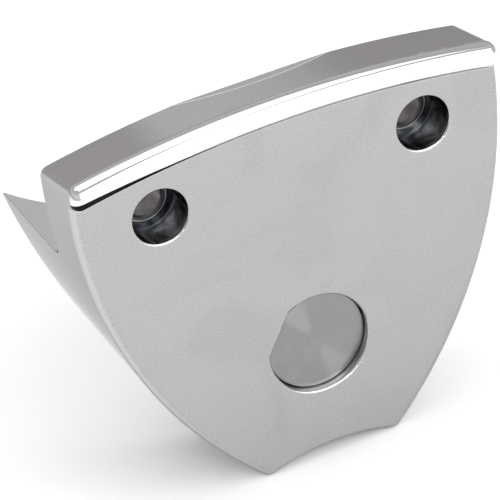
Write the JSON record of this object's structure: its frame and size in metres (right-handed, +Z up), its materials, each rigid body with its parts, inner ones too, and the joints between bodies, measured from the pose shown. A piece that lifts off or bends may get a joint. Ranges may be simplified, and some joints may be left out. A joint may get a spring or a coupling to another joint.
{
  "type": "headlamp mounting bracket",
  "caption": "Polished shield-shaped headlamp bracket: beaded crown, counterbored screw holes, D-shaped opening closed by a turned disc, horned saddle and clamping stud behind.",
  "frame": {"origin": "midway between the two screw holes, on the flange's back face that meets the fork clamp", "axes": "+X to the right seen from the front, +Y from the front face towards the saddle and the horns, +Z up towards the beaded crown"},
  "size_m": [0.1024, 0.0571, 0.0937],
  "materials": {
    "polished_metal": "bright chrome plating over an alloy casting, fine grain on the face",
    "turned_metal": "faced on a lathe, fine rings",
    "plated_steel": "zinc plated",
    "spring_steel": "oiled spring steel",
    "black_rubber": "matt moulded rubber"
  },
  "bodies": {
    "bracket": {"bracket_body": "polished_metal", "sleeve_right": "plated_steel", "sleeve_left": "plated_steel", "saddle_lining": "black_rubber", "flat_washer": "plated_steel", "backing_plate": "plated_steel", "lamp_stud": "plated_steel"},
    "cover": {"cover_disc": "turned_metal", "cover_ring": "black_rubber"},
    "spring_washer": {"lock_washer": "spring_steel"},
    "nut": {"lamp_nut": "plated_steel"}
  },
  "joints": [
    {"name": "cover_pull", "type": "slide", "parent": "bracket", "child": "cover", "axis": [0, -1, 0], "range_m": [0, 0.012]},
    {"name": "nut_travel", "type": "slide", "parent": "bracket", "child": "spring_washer", "axis": [0, -1, 0], "range_m": [0, 0.0015]},
    {"name": "nut_turn", "type": "hinge", "parent": "spring_washer", "child": "nut", "pos_m": [0, -0.0077, -0.0452], "axis": [0, -1, 0], "range_deg": [0, 359]}
  ],
  "couplings": [
    {"joint": "nut_travel", "follows": "nut_turn", "m_per_rad": 0.00023873}
  ]
}
